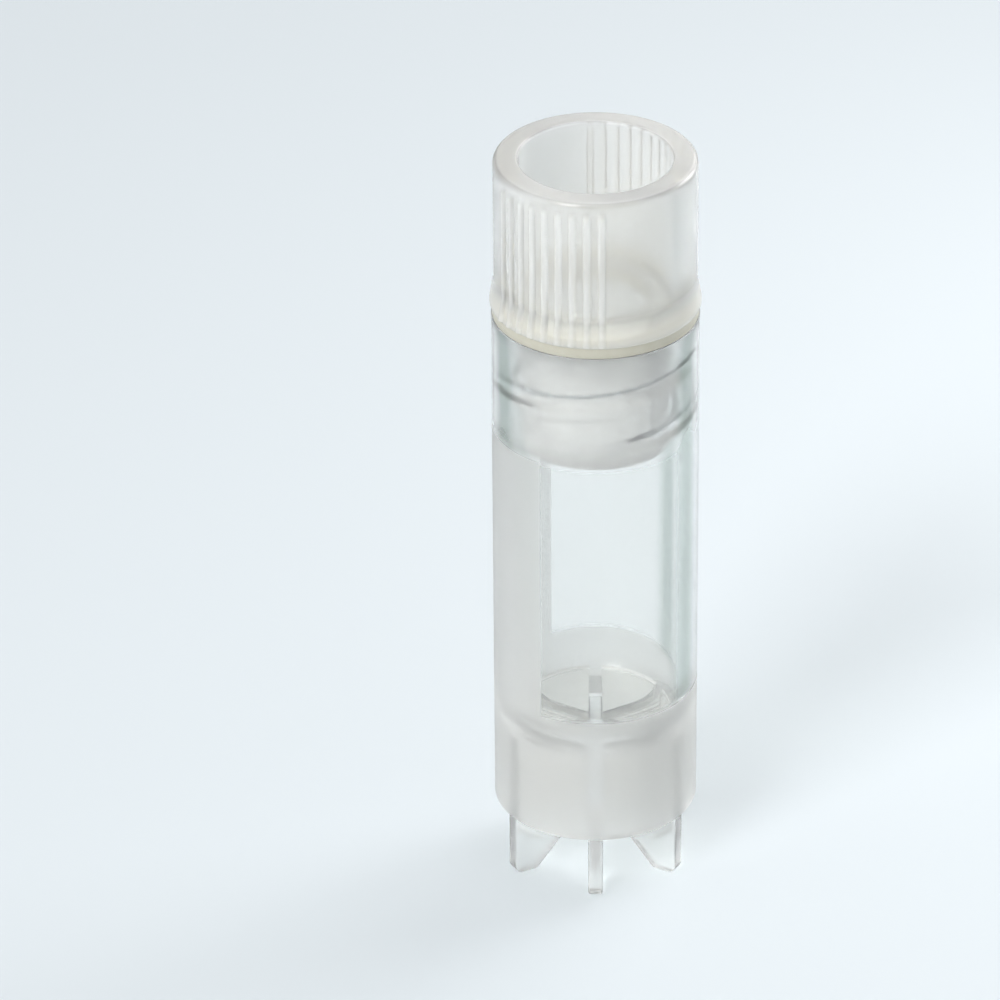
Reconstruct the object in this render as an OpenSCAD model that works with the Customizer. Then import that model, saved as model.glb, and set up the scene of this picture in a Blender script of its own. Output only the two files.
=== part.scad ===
/* [Tube] */
// Outer diameter of the tube at its rim
tube_d = 12.7; // [12.3:0.1:14]
// Height of the rim above the bench
tube_h = 38.6; // [36:0.2:80]
// Wall of the tube, from its rim down to the rounded bottom
tube_wall = 1.25; // [1:0.05:1.5]
// How much the outer diameter narrows from the rim to the skirt's edge
tube_draft = 0.05; // [0:0.05:0.4]
// Height of the inside bottom above the bench
floor_z = 10.2; // [9:0.2:13]
// Radius between the inside bottom and the bore
floor_round = 2; // [1.4:0.1:2.4]
// Thickness of the bottom
floor_t = 1; // [0.8:0.05:1.3]
// Chamfer inside the mouth
mouth_chamfer = 0.3; // [0.1:0.05:0.4]
// Bevel on the outer edge of the rim
rim_bevel = 0.15; // [0.05:0.05:0.3]

/* [Star foot] */
// Number of fins in the star
fin_count = 6; // [4:2:8]
// Direction of the first fin
fin_dir = 30; // [0:15:60]
// Thickness of a fin
fin_t = 0.9; // [0.7:0.05:1.3]
// How far the fins' outer edges lie inside the skirt's surface
fin_inset = 0.3; // [0.1:0.05:0.5]
// Length of the flat that each fin stands on
foot_flat = 1.6; // [1.4:0.1:2.6]
// Slope of the arch between the feet, from the bench
arch_angle = 46; // [40:1:52]
// Radius on the outer corner of each foot
foot_round = 0.6; // [0.3:0.05:0.8]
// Height of the skirt's edge above the bench
skirt_gap = 4.4; // [3:0.2:5]
// Thickness of the skirt
skirt_t = 0.9; // [0.7:0.05:1.1]

/* [Thread] */
// Rise of the thread in one turn
thread_lead = 3.4; // [3:0.1:3.8]
// Height of each ridge above its wall
thread_depth = 0.42; // [0.36:0.02:0.46]
// Width of a ridge at its root
ridge_root = 1.3; // [1:0.1:1.4]
// Width of a ridge at its crest
ridge_crest = 0.6; // [0.4:0.1:0.8]
// Turns of the ridge inside the tube
tube_turns = 1.2; // [1:0.1:1.3]
// Turns of the ridge on the plug
plug_turns = 1; // [1:0.1:1.2]
// Depth of the tube's ridge below the rim, at its upper end
ridge_start = 2.7; // [2.2:0.1:2.8]
// Direction of the ridges' upper ends
ridge_dir = 355; // [0:5:355]
// Room between a ridge's crest and the wall that it runs along
crest_play = 0.18; // [0.14:0.02:0.22]
// Room between the flanks of the two ridges
flank_play = 0.12; // [0.1:0.01:0.2]

/* [Screw cap] */
// Outer diameter of the cap's grip
cap_d = 12.4; // [12.2:0.1:13]
// Height of the grip above the seal ring
grip_h = 9.7; // [8.2:0.5:14.2]
// Wall of the grip round the open hollow in the top
grip_wall = 1.55; // [1.3:0.05:1.8]
// Height of the hollow's floor above the flange's underside
hollow_floor = 0.9; // [0.8:0.1:2]
// How far the flange stands out from the grip
flange_lip = 0.25; // [0.1:0.05:0.5]
// Height of the flange's straight edge
flange_edge = 0.2; // [0.2:0.05:0.4]
// Height over which the grip flares out to the flange
flare_h = 1.4; // [0.8:0.1:2]
// Bevel under the flange
flange_bevel = 0.12; // [0.05:0.01:0.18]
// Radius on the outer edge of the top
top_round = 0.4; // [0.2:0.05:0.6]
// Chamfer round the mouth of the hollow
hollow_chamfer = 0.2; // [0.1:0.05:0.3]
// Length of the plug below the tube's rim
plug_len = 8.5; // [8.3:0.1:10]
// Wall of the hollow plug, and of its closed end
plug_wall = 1.15; // [0.9:0.05:1.3]
// Bevel round the plug's closed end
plug_bevel = 0.25; // [0.2:0.05:0.5]
// Room between the plug's plain neck and the mouth of the bore
neck_play = 0.2; // [0.1:0.02:0.3]

/* [Grip ribs] */
// Ribs in each of the two groups
rib_count = 9; // [5:1:13]
// Angle between neighbouring ribs
rib_pitch = 8.2; // [7:0.2:9]
// Width of a rib at its foot
rib_w = 0.5; // [0.4:0.05:0.6]
// Height of the ribs above the grip
rib_h = 0.16; // [0.1:0.02:0.2]
// Distance of the ribs' upper ends from the top
rib_top_gap = 0.7; // [0.6:0.1:1.5]
// Direction of the middle of the first group
rib_group_dir = 240.6; // [0:0.2:360]

/* [Seal ring] */
// Thickness of the ring between flange and rim
seal_t = 0.7; // [0.4:0.05:0.9]
// How far the ring's outer edge lies inside the tube's surface
seal_inset = 0.05; // [0:0.05:0.4]
// Radius on the ring's outer edges
seal_round = 0.18; // [0.1:0.02:0.2]
// Room between the ring and the neck
seal_play = 0.06; // [0.04:0.02:0.1]

/* [Hidden] */
$fn = 96;
sink = 0.2;        // how deep one feature starts inside the wall that carries it
past = 1;          // how far a cutting shape runs past the face that it opens
ridge_step = 12;   // degrees between the sections of a ridge
ridge_fade = 36;   // degrees over which a ridge rises out of its wall
ridge_gap = 0.25;  // from the tube's ridge up to the end of the plain neck
rib_fade = 0.3;    // height over which a rib's upper end comes out of the grip
rib_lift = 0.04;   // how far the bends of a rib lie above the bends of the grip under it

tube_r = tube_d / 2;
skirt_r = (tube_d - tube_draft) / 2;
skirt_in = skirt_r - skirt_t;
bore_r = tube_r - tube_wall;
corner_z = floor_z + floor_round;

star_r = skirt_r - fin_inset;
foot_in = star_r - foot_flat;
arch_top = foot_in * tan(arch_angle);

flange_z = tube_h + seal_t;
flare_z = flange_z + flange_edge;
grip_z = flare_z + flare_h;
cap_top = flange_z + grip_h;
hollow_z = flange_z + hollow_floor;
plug_z = tube_h - plug_len;
cap_r = cap_d / 2;
flange_r = cap_r + flange_lip;
hollow_r = cap_r - grip_wall;
neck_r = bore_r - neck_play;
core_r = bore_r - thread_depth - crest_play;
plug_bore_r = core_r - plug_wall;
seal_r = tube_r - seal_inset;

// The plug's ridge hangs from the underside of the tube's ridge, one flank's play below it
tube_ridge_z = tube_h - ridge_start;
crest_share = (thread_depth - crest_play) / thread_depth;
flank_drop = ridge_crest + (ridge_root - ridge_crest) / 2 * crest_share;
plug_ridge_z = tube_ridge_z - flank_drop - flank_play;
neck_z = tube_ridge_z + ridge_root / 2 + ridge_gap;

// A solid skinned over loops that have as many points each. Each loop runs anticlockwise
// as seen looking along the path from the first loop to the last.
module loft(loops) {
    n = len(loops[0]);
    last = n * (len(loops) - 1);
    sides = [
        for (i = [0:len(loops) - 2]) for (j = [0:n - 1])
            let (a = n * i + j, b = n * i + (j + 1) % n)
            each [[a, b, b + n], [a, b + n, a + n]]];
    start = [for (j = [1:n - 2]) [0, j + 1, j]];
    end = [for (j = [1:n - 2]) [last, last + j, last + j + 1]];
    polyhedron([for (loop = loops) each loop], concat(sides, start, end), convexity = 6);
}

// A ridge that winds up its wall: wall_r is the wall, crest_r the ridge's full height, and
// top_z is where its upper end lies. Both ends fade into the wall.
module thread_ridge(wall_r, crest_r, top_z, turns) {
    sweep = 360 * turns;
    steps = ceil(sweep / ridge_step);
    buried = (crest_r > wall_r ? -1 : 1) * sink;
    root = [wall_r + buried, ridge_root / 2];
    function rise(a) = max(0, min(1, a / ridge_fade, (sweep - a) / ridge_fade));
    function crest(a) = [
        wall_r + buried / 2 + rise(a) * (crest_r - wall_r - buried / 2), ridge_crest / 2];
    function section(near, far) = [
        [near[0], -near[1]], [far[0], -far[1]], [far[0], far[1]], [near[0], near[1]]];
    loft([
        for (i = [0:steps])
            let (a = sweep * i / steps, dir = ridge_dir - sweep + a,
                z = top_z - thread_lead * (sweep - a) / 360,
                flat = buried < 0 ? section(root, crest(a)) : section(crest(a), root))
            [for (p = flat) [p[0] * cos(dir), p[0] * sin(dir), z + p[1]]]]);
}

// The outside of the tube, from the skirt's edge to the rim
module tube_outside() {
    translate([0, 0, skirt_gap])
        cylinder(r1 = skirt_r, r2 = tube_r, h = tube_h - rim_bevel - skirt_gap);
    translate([0, 0, tube_h - rim_bevel])
        cylinder(r1 = tube_r, r2 = tube_r - rim_bevel, h = rim_bevel);
}

// The right half of a flat bottom with a rounded corner, `drop` below the inside bottom
module bottom_half(drop) {
    corner_in = bore_r - floor_round;
    translate([0, floor_z - drop]) square([corner_in, floor_round + drop]);
    intersection() {
        translate([corner_in, corner_z]) circle(r = floor_round + drop);
        translate([corner_in, floor_z - drop]) square(floor_round + drop);
    }
}

// The space for the sample: a bore closed by a flat bottom with a rounded corner
module sample_space() {
    rotate_extrude() {
        bottom_half(0);
        translate([0, corner_z]) square([bore_r, tube_h - corner_z + past]);
    }
    translate([0, 0, tube_h - mouth_chamfer])
        cylinder(r1 = bore_r, r2 = bore_r + 2 * mouth_chamfer, h = 2 * mouth_chamfer);
}

// The space inside the skirt, under the bottom
module skirt_space() {
    rotate_extrude()
        difference() {
            translate([0, skirt_gap - past]) square([skirt_in, corner_z - skirt_gap + past]);
            bottom_half(floor_t);
        }
}

// One fin, seen from its side: a foot at its outer end and an arch rising to the middle
module fin_outline() {
    difference() {
        union() {
            polygon([
                [0, arch_top], [foot_in, 0], [star_r - foot_round, 0],
                [star_r, foot_round], [star_r, skirt_gap + sink],
                [skirt_in + sink, skirt_gap + sink], [skirt_in + sink, corner_z],
                [0, corner_z]]);
            translate([star_r - foot_round, foot_round]) circle(r = foot_round);
        }
        bottom_half(floor_t - sink);
    }
}

module star_foot() {
    for (k = [0:fin_count - 1])
        rotate([90, 0, fin_dir + 360 * k / fin_count])
            translate([0, 0, -fin_t / 2]) linear_extrude(height = fin_t) fin_outline();
}

module tube() {
    color([0.86, 0.89, 0.88, 0.6]) {
        difference() {
            tube_outside();
            sample_space();
            skirt_space();
        }
        star_foot();
        thread_ridge(bore_r, bore_r - thread_depth, tube_ridge_z, tube_turns);
    }
}

// The cap's body: grip, flare and flange, then the plain neck and the plug
module cap_outside() {
    rotate_extrude() {
        polygon([
            [0, flange_z], [flange_r - flange_bevel, flange_z], [flange_r, flange_z + flange_bevel],
            [flange_r, flare_z], [cap_r, grip_z], [cap_r, cap_top - top_round],
            [cap_r - top_round, cap_top], [0, cap_top]]);
        translate([cap_r - top_round, cap_top - top_round]) circle(r = top_round);
    }
    rotate_extrude()
        polygon([
            [0, plug_z], [core_r - plug_bevel, plug_z], [core_r, plug_z + plug_bevel],
            [core_r, neck_z], [neck_r, neck_z], [neck_r, flange_z + sink], [0, flange_z + sink]]);
}

// The hollow in the top, which goes on down inside the plug
module cap_space() {
    translate([0, 0, hollow_z]) cylinder(r = hollow_r, h = grip_h);
    translate([0, 0, plug_z + plug_wall])
        cylinder(r = plug_bore_r, h = hollow_z - plug_z - plug_wall + sink);
    translate([0, 0, cap_top - hollow_chamfer])
        cylinder(r1 = hollow_r, r2 = hollow_r + 2 * hollow_chamfer, h = 2 * hollow_chamfer);
}

// A rib with a rounded crest, which follows the grip down over the flare to the flange.
// Each section is given across the rib, as [height above the surface, share of the width].
module grip_rib() {
    stations = [
        [flange_r, flange_z + flange_bevel + rib_lift, rib_h],
        [flange_r, flare_z + rib_lift, rib_h], [cap_r, grip_z + rib_lift, rib_h],
        [cap_r, cap_top - rib_top_gap - rib_fade, rib_h],
        [cap_r, cap_top - rib_top_gap, -sink / 2]];
    function across(h) = [
        [-sink, 0.5], [0.6 * h, 0.4], [h, 0.15], [h, -0.15], [0.6 * h, -0.4], [-sink, -0.5]];
    loft([for (s = stations) [for (p = across(s[2])) [s[0] + p[0], p[1] * rib_w, s[1]]]]);
}

module grip_ribs() {
    for (group_dir = [rib_group_dir, rib_group_dir + 180])
        for (k = [0:rib_count - 1])
            rotate([0, 0, group_dir + (k - (rib_count - 1) / 2) * rib_pitch]) grip_rib();
}

module screw_cap() {
    color([0.87, 0.88, 0.87, 0.85]) {
        difference() {
            union() {
                cap_outside();
                grip_ribs();
            }
            cap_space();
        }
        thread_ridge(core_r, core_r + thread_depth, plug_ridge_z, plug_turns);
    }
}

module seal_ring() {
    inner_r = neck_r + seal_play;
    color([0.81, 0.8, 0.72])
        translate([0, 0, tube_h]) rotate_extrude() {
            translate([inner_r, 0]) square([seal_r - seal_round - inner_r, seal_t]);
            translate([inner_r, seal_round]) square([seal_r - inner_r, seal_t - 2 * seal_round]);
            for (z = [seal_round, seal_t - seal_round])
                translate([seal_r - seal_round, z]) circle(r = seal_round);
        }
}

tube();
screw_cap();
seal_ring();
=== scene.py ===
import math
import bmesh
import bpy
import numpy as np
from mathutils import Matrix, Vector


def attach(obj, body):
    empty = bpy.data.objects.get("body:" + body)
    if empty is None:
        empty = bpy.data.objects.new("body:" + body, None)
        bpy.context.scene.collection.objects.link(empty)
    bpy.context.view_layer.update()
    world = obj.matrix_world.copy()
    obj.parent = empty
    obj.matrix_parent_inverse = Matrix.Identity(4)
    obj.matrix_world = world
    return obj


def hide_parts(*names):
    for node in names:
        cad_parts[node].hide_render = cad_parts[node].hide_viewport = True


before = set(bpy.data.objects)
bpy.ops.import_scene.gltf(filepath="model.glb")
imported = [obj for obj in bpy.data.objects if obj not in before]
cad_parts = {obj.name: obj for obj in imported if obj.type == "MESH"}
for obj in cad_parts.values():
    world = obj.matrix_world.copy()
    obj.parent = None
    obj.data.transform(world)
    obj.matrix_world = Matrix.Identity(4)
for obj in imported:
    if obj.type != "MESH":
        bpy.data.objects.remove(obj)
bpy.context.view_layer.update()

mm = 0.001
tiny = 1e-6   # mm, room for rounding where rows are picked by their radius


# small tools

def hexColour(code):
    # sRGB hex to linear: the sRGB curve is undone for each channel
    channels = [int(code[i:i + 2], 16) / 255 for i in (1, 3, 5)]
    return [c / 12.92 if c <= 0.04045 else ((c + 0.055) / 1.055) ** 2.4 for c in channels] + [1]


def addNode(tree, kind, settings=None, links=None):
    # settings fill properties or input sockets, links join other nodes' outputs to input sockets
    node = tree.nodes.new(kind)
    for key, value in (settings or {}).items():
        if isinstance(key, int) or key in node.inputs:
            node.inputs[key].default_value = value
        else:
            setattr(node, key, value)
    for key, output in (links or {}).items():
        tree.links.new(output, node.inputs[key])
    return node


smooth = {"interpolation_type": "SMOOTHSTEP"}   # a Map Range with soft ends


def newMaterial(name):
    material = bpy.data.materials.new(name)
    material.use_nodes = True
    material.node_tree.nodes.clear()
    return material, material.node_tree


def seeThrough(tree, surface, share, tone):
    # lamps shine through the plastic: a ray that looks for a lamp finds this share of it
    # transparent, and is tinted by the tone
    path = addNode(tree, "ShaderNodeLightPath")
    part = addNode(tree, "ShaderNodeMath", {"operation": "MULTIPLY", 1: share},
                   {0: path.outputs["Is Shadow Ray"]})
    clear = addNode(tree, "ShaderNodeBsdfTransparent", {"Color": hexColour(tone)})
    mixed = addNode(tree, "ShaderNodeMixShader", links={
        0: part.outputs[0], 1: surface.outputs[0], 2: clear.outputs[0]})
    addNode(tree, "ShaderNodeOutputMaterial", links={"Surface": mixed.outputs[0]})


def addObject(name, data):
    item = bpy.data.objects.new(name, data)
    bpy.context.scene.collection.objects.link(item)
    return item


def softPath(corners, arcStep=0.25):
    # corners are (r, z, fillet radius, steps along the edge that follows). Each corner becomes
    # the arc that touches its two edges, whose ends lie radius * tan(half the turn) from it,
    # with points about arcStep apart, in radians.
    points = np.array([c[:2] for c in corners], float)
    path = [points[:1]]
    for i in range(1, len(points) - 1):
        back, ahead = points[i - 1] - points[i], points[i + 1] - points[i]
        back, ahead = back / np.linalg.norm(back), ahead / np.linalg.norm(ahead)
        turn = math.pi - math.acos(np.clip(back @ ahead, -1, 1))
        radius = corners[i][2]
        if radius:
            reach = radius * math.tan(turn / 2)
            halfway = (back + ahead) / np.linalg.norm(back + ahead)
            middle = points[i] + halfway * radius / math.cos(turn / 2)
            start, end = points[i] + back * reach - middle, points[i] + ahead * reach - middle
            t = np.linspace(0, 1, max(3, int(turn / arcStep)))[:, None]
            arc = (start * np.sin((1 - t) * turn) / math.sin(turn)
                   + end * np.sin(t * turn) / math.sin(turn))
            arc = middle + arc * radius / np.linalg.norm(arc, axis=1)[:, None]
        else:
            arc = points[i:i + 1]
        path += [edgeSteps(path[-1][-1], arc[0], corners[i - 1][3]), arc]
    path += [edgeSteps(path[-1][-1], points[-1], corners[-2][3]), points[-1:]]
    return np.vstack(path)


def edgeSteps(a, b, count):
    # the points between a and b that cut the edge into count equal steps, without its ends
    return a + (b - a) * np.linspace(0, 1, count + 1)[1:-1, None]


def fullTurn(columns):
    # one angle for each column, all the way round
    return np.linspace(0, 2 * np.pi, columns, endpoint=False)[None, :]


def turnedSurface(name, r, z, angles, paintedLight=None):
    # rows run along the profile and columns round the axis: x = r cos(angle), y = r sin(angle);
    # the painted light mask is kept at each point for the material
    r, z = np.broadcast_arrays(r, z, angles)[:2]
    xyz = np.stack([r * np.cos(angles), r * np.sin(angles), z], axis=2)
    return closedMesh(name, xyz, paintedLight=paintedLight)


def closedMesh(name, xyz, ends=(), paintedLight=None, smallest=0.002):
    # xyz is a grid of points whose last column joins the first, with one face in each gap; ends
    # are faces that close its first and last row. Points less than smallest apart, the poles'
    # doubles, are merged, and the faces are turned outwards.
    rows, columns = xyz.shape[:2]
    i, j = np.meshgrid(np.arange(rows - 1), np.arange(columns), indexing="ij")
    beside = (j + 1) % columns
    quads = np.stack([i * columns + j, i * columns + beside,
                      (i + 1) * columns + beside, (i + 1) * columns + j], axis=2)
    mesh = bpy.data.meshes.new(name)
    mesh.from_pydata(xyz.reshape(-1, 3) * mm, [], quads.reshape(-1, 4).tolist() + list(ends))
    if paintedLight is not None:
        mesh.attributes.new("paintedLight", "FLOAT", "POINT").data.foreach_set("value", paintedLight.ravel())
    work = bmesh.new()
    work.from_mesh(mesh)
    bmesh.ops.remove_doubles(work, verts=work.verts, dist=smallest * mm)
    bmesh.ops.recalc_face_normals(work, faces=work.faces)
    work.to_mesh(mesh)
    work.free()
    smoothMesh(mesh)
    return addObject(name, mesh)


def smoothMesh(mesh, sharp=38):
    # edges that turn more than this angle stay sharp
    mesh.shade_smooth()
    mesh.set_sharp_from_angle(angle=math.radians(sharp))


# thread, the section that the tube's ridge and the plug's ridge share, in mm and degrees

thread = dict(lead=3.4, depth=0.42, root=1.3, crest=0.6, fade=36, endAngle=355)


def threadHeight(angles, z, topZ, turns):
    # height of a helical ridge above its wall: a trapezoid across the ridge, whose middle climbs
    # by the lead in each turn up to topZ, and which fades out at both ends
    t = thread
    sweep = 360 * turns
    height = np.zeros(np.broadcast(angles, z).shape)
    for turn in range(int(turns) + 1):
        along = (np.degrees(angles) - t["endAngle"] + sweep) % 360 + 360 * turn
        middle = topZ - t["lead"] * (sweep - along) / 360
        flank = (t["root"] / 2 - np.abs(z - middle)) / ((t["root"] - t["crest"]) / 2)
        fade = np.clip(np.minimum(along, sweep - along) / t["fade"], 0, 1)
        height = np.maximum(height, np.clip(flank, 0, 1) * fade)
    return height * t["depth"]


# tube, in mm from the axis and above the bench

tube = dict(
    rim=38.6, rimRadius=6.35, rimBevel=0.03,
    bore=5.1, mouth=0.3, mouthTop=0.05, mouthFoot=0.1,   # the mouth is chamfered into the bore
    floor=10.2, round=2.0, bottomWall=1.0,   # flat inside bottom and the radius of its corner
    skirtRadius=6.325, skirtInner=5.425, skirtEdge=4.4, skirtBevel=0.12, innerBevel=0.08,
    ridgeTop=35.9, ridgeTurns=1.2, ridgeRows=8.6,   # close rows reach this far below the rim
    columns=288)


def bottomCurve(drop, reach, steps, flatSteps=6):
    # from the axis along the flat bottom, drop below its inside, then up the corner's arc to
    # the distance reach from the axis
    t = tube
    middleR, middleZ, radius = t["bore"] - t["round"], t["floor"] + t["round"], t["round"] + drop
    turn = np.linspace(0, math.asin(min(1, (reach - middleR) / radius)), steps)
    arc = np.stack([middleR + radius * np.sin(turn), middleZ - radius * np.cos(turn)], axis=1)
    flat = np.stack([np.linspace(0, middleR, flatSteps + 1)[:-1],
                     np.full(flatSteps, middleZ - radius)], axis=1)
    return np.vstack([flat, arc])


# star foot: each plate makes a fin and the one opposite, in mm and degrees

foot = dict(
    plates=3, direction=30, thickness=0.9, edge=0.12,
    reach=6.025, inner=4.425, corner=0.6, heel=0.35, rise=46,   # flat foot, then the arch's slope
    sink=0.2, blunt=0.25, stagger=0.04)   # how the plates end inside the tube's wall


def plateOutline(sink, topSteps=12, cornerSteps=7):
    # right half of a plate seen from its side: under the bottom, with a blunt end in the wall,
    # down inside the skirt, round the foot's corner and up the arch to the axis
    f, t = foot, tube
    wall = t["skirtInner"] + sink
    top = bottomCurve(t["bottomWall"] - sink, wall - f["blunt"], topSteps)
    turn = np.linspace(0, np.pi / 2, cornerSteps)
    corner = np.stack([f["reach"] - f["corner"] + f["corner"] * np.cos(turn),
                       f["corner"] - f["corner"] * np.sin(turn)], axis=1)
    arch = f["inner"] * math.tan(math.radians(f["rise"]))
    lower = np.array([[wall, top[-1, 1]], [wall, t["skirtEdge"] + sink],
                      [f["reach"], t["skirtEdge"] + sink]])
    arching = softPath([(f["reach"] - f["corner"], 0, 0, 4), (f["inner"], 0, f["heel"], 10),
                        (0, arch, 0, 1)])
    return np.vstack([top, lower, corner, arching[1:]])


def makePlate(k, edgeRows=4):
    # the outline is carried round both its rims by a quarter circle, inwards by
    # edge * (1 - sin) and sideways by edge * cos, and each flat side is one face
    f = foot
    half = plateOutline(f["sink"] + f["stagger"] * k)   # no two plates' tops lie in one plane
    loop = np.vstack([half, (half * [-1, 1])[::-1][1:-1]])
    ahead = np.roll(loop, -1, axis=0) - np.roll(loop, 1, axis=0)
    inward = np.stack([ahead[:, 1], -ahead[:, 0]], axis=1)   # the outline runs clockwise
    inward /= np.linalg.norm(inward, axis=1)[:, None]
    turn = np.linspace(0, np.pi / 2, edgeRows)
    drop = np.concatenate([(1 - np.sin(turn)), (1 - np.sin(turn))[::-1]]) * f["edge"]
    side = np.concatenate([-np.cos(turn) * f["edge"], np.cos(turn)[::-1] * f["edge"]])
    side += np.repeat([-1, 1], edgeRows) * (f["thickness"] / 2 - f["edge"])
    rows = loop[None] + inward[None] * drop[:, None, None]
    angle = math.radians(f["direction"] + 180 / f["plates"] * k)
    x = rows[..., 0] * math.cos(angle) - side[:, None] * math.sin(angle)
    y = rows[..., 0] * math.sin(angle) + side[:, None] * math.cos(angle)
    flatSides = np.arange(x.size).reshape(x.shape)[[0, -1]].tolist()
    return closedMesh("fin", np.stack([x, y, rows[..., 1]], axis=2), flatSides)


def joinSolid(piece, other):
    union = piece.modifiers.new("union", "BOOLEAN")
    union.operation, union.solver, union.object = "UNION", "MANIFOLD", other
    bpy.context.view_layer.objects.active = piece
    bpy.ops.object.modifier_apply(modifier=union.name)
    bpy.data.objects.remove(other)


def makeTube():
    # the profile runs from the axis along the underside, down inside the skirt, up the outside,
    # over the rim, down the bore and back to the axis; the ridge stands inwards from the bore
    t = tube
    corner = t["floor"] + t["round"]
    under = bottomCurve(t["bottomWall"], t["skirtInner"], steps=14)
    wall = softPath([
        (*under[-1], 0, 10), (t["skirtInner"], t["skirtEdge"], t["innerBevel"], 3),
        (t["skirtRadius"], t["skirtEdge"], t["skirtBevel"], 40),
        (t["rimRadius"], t["rim"], t["rimBevel"], 4),
        (t["bore"] + t["mouth"], t["rim"], t["mouthTop"], 3),
        (t["bore"], t["rim"] - t["mouth"], t["mouthFoot"], 84),
        (t["bore"], t["rim"] - t["ridgeRows"], 0, 24), (t["bore"], corner, 0, 1)])
    inside = bottomCurve(0, t["bore"], steps=20)[::-1]
    profile = np.vstack([under[:-1], wall, inside[1:]])
    r, z, angles = profile[:, :1], profile[:, 1:], fullTurn(t["columns"])
    onBore = (np.abs(r - t["bore"]) < tiny) & (z > corner)
    ridge = threadHeight(angles, z, t["ridgeTop"], t["ridgeTurns"]) * onBore
    piece = turnedSurface("vial_tube", r - ridge, z, angles)
    for k in range(foot["plates"]):
        joinSolid(piece, makePlate(k))
    smoothMesh(piece.data)
    return piece


tubePiece = makeTube()
print("tube:", len(tubePiece.data.polygons), "faces")


# screw cap, in mm and degrees

cap = dict(
    under=39.3, flange=6.45, flangeEdge=0.2, bevel=0.12, edge=0.08,
    radius=6.2, top=49.0, topRound=0.4, flare=1.4, flareRound=1.2,   # grip, flared to the flange
    hollow=4.65, hollowFloor=40.2, hollowRound=0.3, chamfer=0.2,
    neck=4.9, neckEnd=36.8, core=4.5, plugEnd=30.1, plugBevel=0.25,
    plugHollow=3.35, plugFloor=31.25, plugRound=0.4, plugMouth=0.12,
    ridgeTop=34.98, ridgeTurns=1.0,
    rimPaintedLight=0.36, rimRows=0.02, flarePaintedLight=1.0, flareAbove=0.4, flareFade=1.6)   # painted whiter
ribs = dict(
    count=9, pitch=8.2, group=240.6,   # two groups, this way and opposite
    # the last value is how strongly the crests are painted whiter, a painted highlight
    width=0.5, height=0.16, shape=2.5, topGap=0.7, topFade=0.3, bottomFade=0.05, paintedLight=0.46)


def columnAngles(fine=0.55, coarse=1.8):
    # columns are close together over the two groups of ribs and wide apart between them
    reach = (ribs["count"] + 1) * ribs["pitch"] / 2
    close = np.linspace(-reach, reach, int(2 * reach / fine), endpoint=False)
    wide = np.linspace(reach, 180 - reach, int((180 - 2 * reach) / coarse), endpoint=False)
    half = np.concatenate([close, wide]) + ribs["group"]
    return np.radians(np.concatenate([half, half + 180]))[None, :]


def ribHeight(angles, z):
    # each rib is height * (1 - across ** shape), where across is 0 on its crest and 1 at its
    # sides, and fades out at its top and bottom
    b = ribs
    away = (np.degrees(angles) - b["group"] + 90) % 180 - 90   # from the nearer group's middle
    last = (b["count"] - 1) // 2
    nearest = np.clip(np.round(away / b["pitch"]), -last, last)
    across = np.radians(away - nearest * b["pitch"]) * cap["radius"] / (b["width"] / 2)
    bump = np.clip(1 - np.abs(across) ** b["shape"], 0, 1)
    top = np.clip((cap["top"] - b["topGap"] - z) / b["topFade"], 0, 1)
    bottom = np.clip((z - cap["under"] - cap["bevel"]) / b["bottomFade"], 0, 1)
    return b["height"] * bump * top * bottom


def makeCap():
    # the profile runs from the axis under the plug, up its outside and the neck, round the
    # flange, up the grip, over the rim, down the hollow and to the plug's own floor
    c = cap
    flare = c["under"] + c["flangeEdge"]
    profile = softPath([
        (0, c["plugEnd"], 0, 6), (c["core"], c["plugEnd"], c["plugBevel"], 88),
        (c["core"], c["neckEnd"], c["edge"], 2), (c["neck"], c["neckEnd"], c["edge"], 3),
        (c["neck"], c["under"], 0, 4), (c["flange"], c["under"], c["bevel"], 3),
        (c["flange"], flare, c["edge"], 6),
        (c["radius"], flare + c["flare"], c["flareRound"], 26),
        (c["radius"], c["top"], c["topRound"], 4),
        (c["hollow"], c["top"], c["chamfer"], 20),
        (c["hollow"], c["hollowFloor"], c["hollowRound"], 4),
        (c["plugHollow"], c["hollowFloor"], c["plugMouth"], 20),
        (c["plugHollow"], c["plugFloor"], c["plugRound"], 8), (0, c["plugFloor"], 0, 1)])
    r, z, angles = profile[:, :1], profile[:, 1:], columnAngles()
    onCore = (np.abs(r - c["core"]) < tiny) & (z < c["neckEnd"])
    ridge = threadHeight(angles, z, c["ridgeTop"], c["ridgeTurns"]) * onCore
    outside = r > c["radius"] - tiny
    rib = ribHeight(angles, z) * (outside & (z > c["under"] + c["bevel"]))
    # painted light: the ribs' crests, the rim and the flare under the ribs are made less clear, so
    # they scatter whiter; a painted highlight on crests and rim, painted-out shade on the flare
    onRim = c["rimPaintedLight"] * (z > c["top"] - c["rimRows"])
    upFlare = np.clip((flare + c["flare"] + c["flareAbove"] - z) / c["flareFade"], 0, 1)
    onFlare = c["flarePaintedLight"] * (outside * upFlare)
    paintedLight = np.maximum(ribs["paintedLight"] * rib / ribs["height"], np.maximum(onRim, onFlare))
    return turnedSurface("vial_cap", r + ridge + rib, z, angles, paintedLight)


capPiece = makeCap()
print("screw cap:", len(capPiece.data.polygons), "faces")


# seal ring, in mm

seal = dict(under=38.6, thickness=0.7, outer=6.3, inner=4.96, edge=0.05, innerEdge=0.06,
            columns=192)


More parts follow.
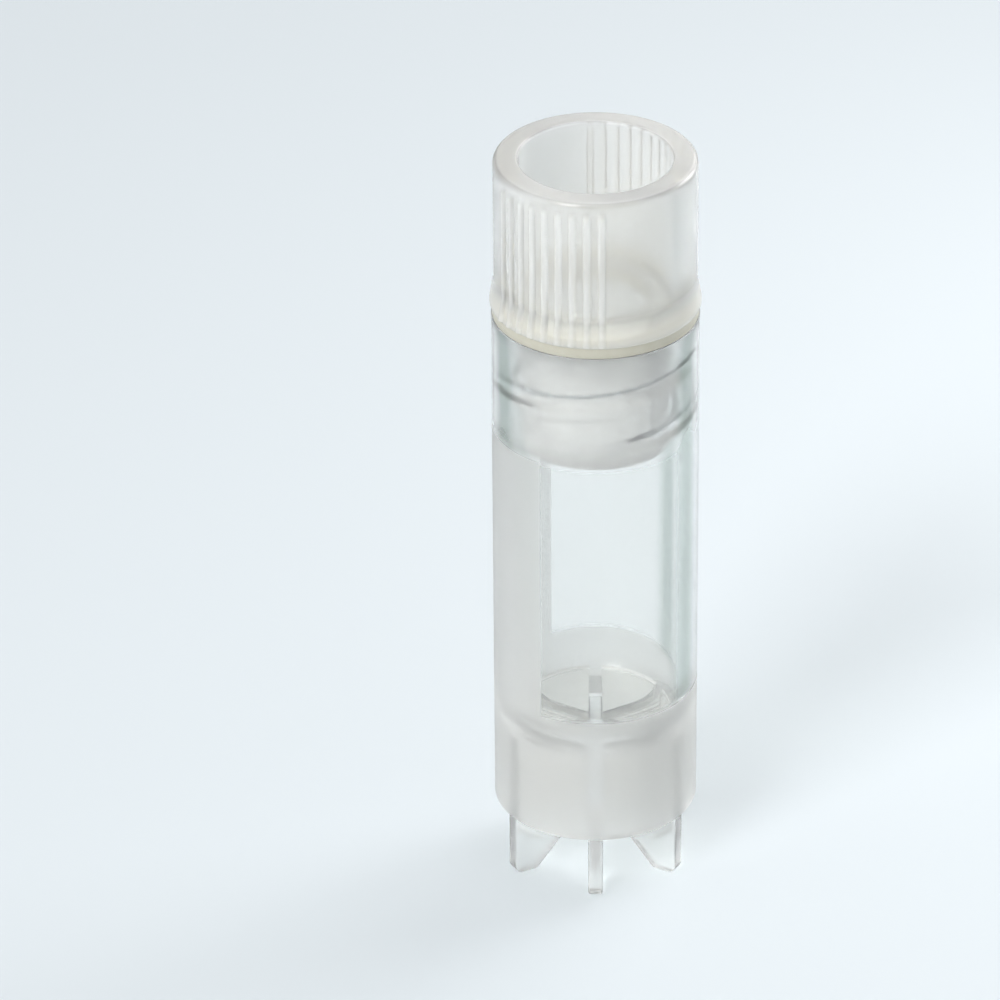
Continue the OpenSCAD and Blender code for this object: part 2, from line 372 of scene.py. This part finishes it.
def makeSeal():
    # a flat ring: its profile runs round from the middle of its inner side
    s = seal
    top = s["under"] + s["thickness"]
    middle = s["under"] + s["thickness"] / 2
    profile = softPath([
        (s["inner"], middle, 0, 2), (s["inner"], s["under"], s["innerEdge"], 4),
        (s["outer"], s["under"], s["edge"], 2), (s["outer"], top, s["edge"], 4),
        (s["inner"], top, s["innerEdge"], 2), (s["inner"], middle, 0, 1)])
    return turnedSurface("seal_gasket", profile[:, :1], profile[:, 1:], fullTurn(s["columns"]))


sealPiece = makeSeal()
print("seal ring:", len(sealPiece.data.polygons), "faces")


# materials: lengths in mm, clear is the share of light that goes straight through

tubeFinish = dict(
    clear=0.95, clearRough=0.04, clearTone="#FBFCFB", veil=1.2, ior=1.49,   # polished
    frosted=0.62, frostRough=0.42, frostTone="#EAEAE8",   # blasted
    frostFrom=4.4, frostTo=13.4, frostFade=0.8,   # round the skirt
    panelSide=-3.3, panelFade=0.12, panelTop=31.5, panelTopFade=1,   # the writing panel
    outerFrom=5.2, outerFade=0.1, footFrost=0.25, finFrost=0.8, finTo=9.0, finFade=0.4,
    neck=0.8, neckFrom=29.5, neckFade=3,   # milkier from the thread up
    edgeShadeTone="#A4B1A9", edgeFrom=0.38, edgeFull=0.56, edgeFall=0.62, edgeGone=0.78,
    edgeRim=0.02, edgeBelow=0.12, edgeFoot=0.5,   # where the clear wall's painted edge shade ends
    waves=2.5, waveDetail=2, waveStrength=0.06, waveHeight=0.02,   # the melt's flow
    shadow=0.81, shadowTone="#F8F8F7")


def tubePlastic():
    # natural polypropylene, injection moulded: polished and clear along the bore and on the feet,
    # milkier where the thread thickens it, and the mould is blasted round the skirt and along one
    # flank, the writing panel, so that both look frosted
    f = tubeFinish
    material, tree = newMaterial("clear_polypropylene_moulded")
    place = addNode(tree, "ShaderNodeTexCoord")
    height = addNode(tree, "ShaderNodeSeparateXYZ", links={0: place.outputs["Object"]})

    # blasted on the outside, up to frostTo all round and up to panelTop beyond panelSide
    skirt = addNode(tree, "ShaderNodeMapRange", {
        **smooth, "From Min": (f["frostTo"] - f["frostFade"]) * mm, "From Max": f["frostTo"] * mm,
        "To Min": 1.0, "To Max": 0.0}, {0: height.outputs["Z"]})
    side = addNode(tree, "ShaderNodeMapRange", {
        **smooth, "From Min": f["panelSide"] * mm,
        "From Max": (f["panelSide"] - f["panelFade"]) * mm}, {0: height.outputs["X"]})
    panel = addNode(tree, "ShaderNodeMapRange", {
        **smooth, "From Min": f["panelTop"] * mm,
        "From Max": (f["panelTop"] - f["panelTopFade"]) * mm},
        {0: height.outputs["Z"], "To Max": side.outputs[0]})
    blasted = addNode(tree, "ShaderNodeMath", {"operation": "MAXIMUM"},
                      {0: skirt.outputs[0], 1: panel.outputs[0]})

    # nearer the axis only the fins are frosted, and the feet below the skirt a little
    fins = addNode(tree, "ShaderNodeMapRange", {
        "From Min": f["finTo"] * mm, "From Max": (f["finTo"] - f["finFade"]) * mm,
        "To Max": f["finFrost"]}, {0: height.outputs["Z"]})
    flatPlace = addNode(tree, "ShaderNodeVectorMath", {"operation": "MULTIPLY", 1: (1, 1, 0)},
                        {0: place.outputs["Object"]})
    reach = addNode(tree, "ShaderNodeVectorMath", {"operation": "LENGTH"},
                    {0: flatPlace.outputs[0]})
    outer = addNode(tree, "ShaderNodeMapRange", {
        "From Min": f["outerFrom"] * mm, "From Max": (f["outerFrom"] + f["outerFade"]) * mm},
        {0: reach.outputs["Value"], "To Min": fins.outputs[0], "To Max": blasted.outputs[0]})
    frost = addNode(tree, "ShaderNodeMapRange", {
        **smooth, "From Min": (f["frostFrom"] - f["frostFade"] / 2) * mm,
        "From Max": (f["frostFrom"] + f["frostFade"] / 2) * mm, "To Min": f["footFrost"]},
        {0: height.outputs["Z"], "To Max": outer.outputs[0]})

    # how clear and how rough
    neck = addNode(tree, "ShaderNodeMapRange", {
        **smooth, "From Min": f["neckFrom"] * mm, "From Max": (f["neckFrom"] + f["neckFade"]) * mm,
        "To Min": f["clear"], "To Max": f["neck"]}, {0: height.outputs["Z"]})
    clear = addNode(tree, "ShaderNodeMapRange", {"To Max": f["frosted"]},
                    {0: frost.outputs[0], "To Min": neck.outputs[0]})
    rough = addNode(tree, "ShaderNodeMapRange", {
        "To Min": f["clearRough"], "To Max": f["frostRough"]}, {0: frost.outputs[0]})
    flow = addNode(tree, "ShaderNodeTexNoise", {
        "Scale": 1 / (f["waves"] * mm), "Detail": f["waveDetail"]},
        {"Vector": place.outputs["Object"]})
    bump = addNode(tree, "ShaderNodeBump", {
        "Strength": f["waveStrength"], "Distance": f["waveHeight"] * mm},
        {"Height": flow.outputs["Fac"]})

    # painted shade: the clear wall seen aslant is painted grey green, standing in for the dark
    # edge that a thick clear wall shows, but not at its very outline, on the rim's top or on the
    # skirt
    slant = addNode(tree, "ShaderNodeLayerWeight", links={"Normal": bump.outputs[0]})
    wall = addNode(tree, "ShaderNodeMapRange", {
        **smooth, "From Min": f["edgeFrom"], "From Max": f["edgeFull"]},
        {0: slant.outputs["Facing"]})
    slope = addNode(tree, "ShaderNodeMapRange", {
        **smooth, "From Min": f["edgeFall"], "From Max": f["edgeGone"], "To Max": 0.0},
        {0: slant.outputs["Facing"], "To Min": wall.outputs[0]})
    upper = addNode(tree, "ShaderNodeMapRange", {
        "From Min": (tube["rim"] - f["edgeRim"]) * mm,
        "From Max": (tube["rim"] - f["edgeBelow"]) * mm},
        {0: height.outputs["Z"], "To Max": slope.outputs[0]})
    edge = addNode(tree, "ShaderNodeMapRange", {
        "From Min": (f["frostTo"] - f["edgeFoot"]) * mm, "From Max": f["frostTo"] * mm},
        {0: height.outputs["Z"], "To Max": upper.outputs[0]})
    glassy = addNode(tree, "ShaderNodeMix", {
        "data_type": "RGBA", 6: hexColour(f["clearTone"]), 7: hexColour(f["edgeShadeTone"])},
        {0: edge.outputs[0]})
    tint = addNode(tree, "ShaderNodeMix", {"data_type": "RGBA", 7: hexColour(f["frostTone"])},
                   {0: frost.outputs[0], 6: glassy.outputs[2]})
    surface = addNode(tree, "ShaderNodeBsdfPrincipled", {
        "IOR": f["ior"], "Subsurface Weight": 1.0,
        "Subsurface Radius": (1.0, 1.0, 1.0), "Subsurface Scale": f["veil"] * mm},
        {"Base Color": tint.outputs[2], "Transmission Weight": clear.outputs[0],
         "Roughness": rough.outputs[0], "Normal": bump.outputs[0]})
    seeThrough(tree, surface, f["shadow"], f["shadowTone"])
    return material


capFinish = dict(
    # the second value is how clear the cap stays where the painted light mask is full, so it
    # scatters whiter there
    clear=0.72, paintedLight=0.2, tone="#F2F2F0", depth=1.4, ior=1.49, rough=0.12, roughSpread=0.05,
    flangeGlowTone="#F4F1E6", glowFrom=39.8, glowTo=41.2, glowUnder=0.3,   # painted glow: cream near the ring
    clouds=2.5, cloudDetail=3, cloudStrength=0.05, cloudHeight=0.02,   # satin mould face
    shadow=0.8, shadowTone="#F4F4F2")


def capPlastic():
    # natural polypropylene, thicker and moulded with a satin face: milky, light glows through it;
    # the ribs' crests, the rim and the flare are painted whiter by less clear plastic, a painted
    # highlight on crests and rim and painted-out shade on the flare, and the flange is painted a
    # warm tone, a painted glow of the cream ring under it
    f = capFinish
    material, tree = newMaterial("milky_polypropylene_moulded")
    place = addNode(tree, "ShaderNodeTexCoord")
    cloud = addNode(tree, "ShaderNodeTexNoise", {
        "Scale": 1 / (f["clouds"] * mm), "Detail": f["cloudDetail"]},
        {"Vector": place.outputs["Object"]})
    gloss = addNode(tree, "ShaderNodeMapRange", {
        "To Min": f["rough"] - f["roughSpread"], "To Max": f["rough"] + f["roughSpread"]},
        {0: cloud.outputs["Fac"]})
    bump = addNode(tree, "ShaderNodeBump", {
        "Strength": f["cloudStrength"], "Distance": f["cloudHeight"] * mm},
        {"Height": cloud.outputs["Fac"]})
    height = addNode(tree, "ShaderNodeSeparateXYZ", links={0: place.outputs["Object"]})
    # painted glow: near the ring the base colour turns cream, as if the ring's colour shone
    # through the flange
    glow = addNode(tree, "ShaderNodeMapRange", {
        **smooth, "From Min": f["glowTo"] * mm, "From Max": f["glowFrom"] * mm},
        {0: height.outputs["Z"]})
    flange = addNode(tree, "ShaderNodeMapRange", {
        "From Min": (cap["under"] - f["glowUnder"]) * mm, "From Max": cap["under"] * mm},
        {0: height.outputs["Z"], "To Max": glow.outputs[0]})
    tint = addNode(tree, "ShaderNodeMix", {
        "data_type": "RGBA", 6: hexColour(f["tone"]), 7: hexColour(f["flangeGlowTone"])},
        {0: flange.outputs[0]})
    # painted light mask: crests, rim and flare let less light straight through and scatter whiter
    paintedLight = addNode(tree, "ShaderNodeAttribute", {"attribute_name": "paintedLight"})
    clear = addNode(tree, "ShaderNodeMapRange", {"To Min": f["clear"], "To Max": f["paintedLight"]},
                    {0: paintedLight.outputs["Fac"]})
    surface = addNode(tree, "ShaderNodeBsdfPrincipled", {
        "IOR": f["ior"], "Subsurface Weight": 1.0,
        "Subsurface Radius": (1.0, 1.0, 1.0), "Subsurface Scale": f["depth"] * mm},
        {"Base Color": tint.outputs[2], "Transmission Weight": clear.outputs[0],
         "Roughness": gloss.outputs[0], "Normal": bump.outputs[0]})
    seeThrough(tree, surface, f["shadow"], f["shadowTone"])
    return material


sealFinish = dict(darkTone="#C1BDAC", paleTone="#CDCABC", rough=0.5, ior=1.41, mottle=0.6,
                  mottleDetail=4, mottleStrength=0.2, mottleHeight=0.02)


def sealRubber():
    # cream silicone rubber, compression moulded: matt, soft and slightly mottled
    f = sealFinish
    material, tree = newMaterial("cream_silicone_moulded")
    place = addNode(tree, "ShaderNodeTexCoord")
    mottle = addNode(tree, "ShaderNodeTexNoise", {
        "Scale": 1 / (f["mottle"] * mm), "Detail": f["mottleDetail"]},
        {"Vector": place.outputs["Object"]})
    tint = addNode(tree, "ShaderNodeMix", {
        "data_type": "RGBA", 6: hexColour(f["darkTone"]), 7: hexColour(f["paleTone"])},
        {0: mottle.outputs["Fac"]})
    bump = addNode(tree, "ShaderNodeBump", {
        "Strength": f["mottleStrength"], "Distance": f["mottleHeight"] * mm},
        {"Height": mottle.outputs["Fac"]})
    surface = addNode(tree, "ShaderNodeBsdfPrincipled", {
        "IOR": f["ior"], "Roughness": f["rough"]},
        {"Base Color": tint.outputs[2], "Normal": bump.outputs[0]})
    addNode(tree, "ShaderNodeOutputMaterial", links={"Surface": surface.outputs[0]})
    return material


for piece, node, slot, body, finish in (
        (tubePiece, "tube", "tube_polypropylene", "vial", tubePlastic()),
        (capPiece, "screw_cap", "cap_polypropylene", "cap", capPlastic()),
        (sealPiece, "seal_ring", "seal_silicone", "seal", sealRubber())):
    piece.data.materials.clear()
    piece.data.materials.append(finish)
    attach(piece, body)
    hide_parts(node)
print("materials on")


# floor, light and camera, in metres, watts and degrees, the lens and its sensor in mm

bench = dict(size=3.0, tone="#DCE3E7", rough=0.6, shine=0.2)


def makeFloor():
    # bench top of pressed laminate: pale blue grey and matt, so it shows no mirror image
    size = bench["size"]
    mesh = bpy.data.meshes.new("floor")
    mesh.from_pydata([(-size, -size, 0), (size, -size, 0), (size, size, 0), (-size, size, 0)],
                     [], [(0, 1, 2, 3)])
    floor = addObject("floor", mesh)
    material, tree = newMaterial("pale_laminate_pressed")
    surface = addNode(tree, "ShaderNodeBsdfPrincipled", {
        "Base Color": hexColour(bench["tone"]), "Roughness": bench["rough"],
        "Specular IOR Level": bench["shine"]})
    addNode(tree, "ShaderNodeOutputMaterial", links={"Surface": surface.outputs[0]})
    mesh.materials.append(material)


room = dict(tone="#F2F3F4", strength=0.58)


def makeWorld():
    world = bpy.data.worlds.new("room")
    world.use_nodes = True
    tree = world.node_tree
    tree.nodes.clear()
    walls = addNode(tree, "ShaderNodeBackground", {
        "Color": hexColour(room["tone"]), "Strength": room["strength"]})
    addNode(tree, "ShaderNodeOutputWorld", links={"Surface": walls.outputs[0]})
    bpy.context.scene.world = world


view = dict(distance=0.45, elevation=30, lens=263.1, sensor=36, nearest=0.01, aim=0.025,
            shiftX=-0.0955, shiftY=0.0035)


def makeCamera():
    v = view
    lens = bpy.data.cameras.new("camera")
    lens.sensor_width, lens.lens, lens.clip_start = v["sensor"], v["lens"], v["nearest"]
    lens.shift_x, lens.shift_y = v["shiftX"], v["shiftY"]
    camera = addObject("camera", lens)
    angle = math.radians(v["elevation"])
    camera.location = (0, -v["distance"] * math.cos(angle),
                       v["aim"] + v["distance"] * math.sin(angle))
    camera.rotation_euler = (math.pi / 2 - angle, 0, 0)
    bpy.context.scene.camera = camera


lamps = dict(key=dict(place=(-0.26, -0.36, 0.42), size=0.2, power=2.1),
             back=dict(place=(0.25, 0.3, 0.2), size=0.3, power=0.6),
             side=dict(place=(0.1, 0.06, 0.09), size=0.06, power=0.06))


def addLamp(name, place, size, power):
    # a square soft box that points at the middle of the vial and isn't seen itself
    light = bpy.data.lights.new(name, "AREA")
    light.shape, light.size, light.energy = "SQUARE", size, power
    lamp = addObject(name, light)
    lamp.location = place
    aim = Vector((0, 0, view["aim"])) - Vector(place)
    lamp.rotation_euler = aim.to_track_quat("-Z", "Y").to_euler()
    lamp.visible_camera = False
    # a lamp behind the vial would show in the plug's solid end as a hard white patch
    lamp.visible_transmission = place[1] < 0


makeFloor()
makeWorld()
for name, lamp in lamps.items():
    addLamp(name, **lamp)
makeCamera()
bpy.context.scene.view_settings.view_transform = "Standard"
print("floor, light and camera placed")
